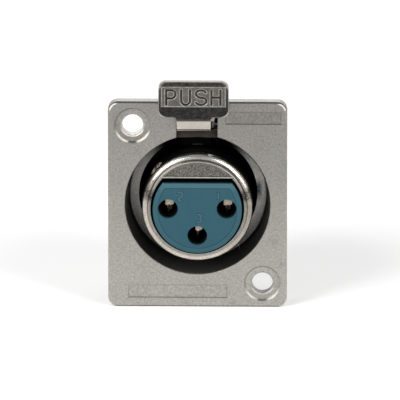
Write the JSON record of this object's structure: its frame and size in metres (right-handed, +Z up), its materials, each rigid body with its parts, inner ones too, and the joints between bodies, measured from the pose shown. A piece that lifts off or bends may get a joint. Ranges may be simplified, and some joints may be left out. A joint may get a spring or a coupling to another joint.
{
  "type": "xlr panel socket",
  "caption": "Nickel panel socket for a round audio plug: rectangular flange, deep well around the nose, blue rubber insert and a push latch.",
  "frame": {"origin": "middle of the two-screw pattern, on the flange's seat face", "axes": "+Y into the panel, square to the seat face; +Z up through the push latch; +X to the right seen from the front"},
  "size_m": [0.0262, 0.0282, 0.0352],
  "materials": {
    "satin_nickel": "satin nickel on a zinc casting",
    "latch_nickel": "bright nickel, worn",
    "insert_rubber": "matt blue rubber",
    "contact_metal": "silver-plated brass",
    "pin_steel": "plain steel",
    "spring_steel": "drawn wire",
    "tag_tin": "tinned brass"
  },
  "bodies": {
    "housing": {"shell": "satin_nickel", "socket_insert": "insert_rubber", "contact_1": "contact_metal", "contact_2": "contact_metal", "contact_3": "contact_metal", "insert_screw": "pin_steel", "latch_pivot_pin": "pin_steel", "latch_spring": "spring_steel", "earth_tag": "tag_tin"},
    "latch": {"latch_lever": "latch_nickel"}
  },
  "joints": [
    {"name": "latch_press", "type": "hinge", "parent": "housing", "child": "latch", "pos_m": [-0.0003, 0.00585, 0.0094], "axis": [-1, 0, 0], "range_deg": [0, 9], "stiffness_Nm_per_rad": 0.045, "springref_deg": -7.45, "deforming": ["latch_spring"]}
  ]
}
